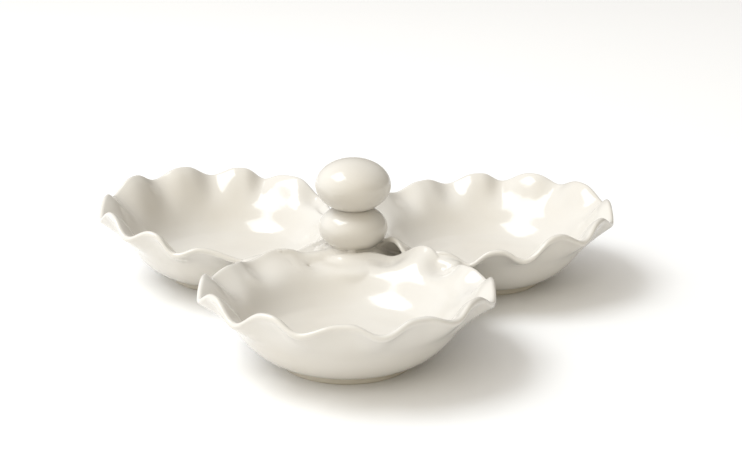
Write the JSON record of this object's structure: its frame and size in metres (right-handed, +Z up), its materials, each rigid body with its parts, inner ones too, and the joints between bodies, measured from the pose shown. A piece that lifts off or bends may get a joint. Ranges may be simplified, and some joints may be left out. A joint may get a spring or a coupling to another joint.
{
  "type": "divided serving bowl",
  "caption": "Glazed ceramic divided serving bowl: round bowls with ruffled rims joined in a trefoil round a central knob of stacked beads, each on its own turned foot ring.",
  "frame": {"origin": "on the table, on the knob's axis, at the point where the three bowls' feet stand level", "axes": "+Z up along the knob, -Y towards the front bowl, +X to the right with one bowl on each side of the Y axis"},
  "size_m": [0.2988, 0.2787, 0.0829],
  "materials": {
    "glaze": "glossy cream glaze",
    "foot_clay": "glazed sides with a dry wiped edge where the ring stands"
  },
  "bodies": {
    "root": {"bowl_front": "glaze", "bowl_right": "glaze", "bowl_left": "glaze", "foot_ring_front": "foot_clay", "foot_ring_right": "foot_clay", "foot_ring_left": "foot_clay", "centre_saddle": "glaze", "seam_front_right": "glaze", "seam_back": "glaze", "seam_front_left": "glaze", "knob_lower_bead": "glaze", "knob_upper_bead": "glaze"}
  },
  "joints": []
}
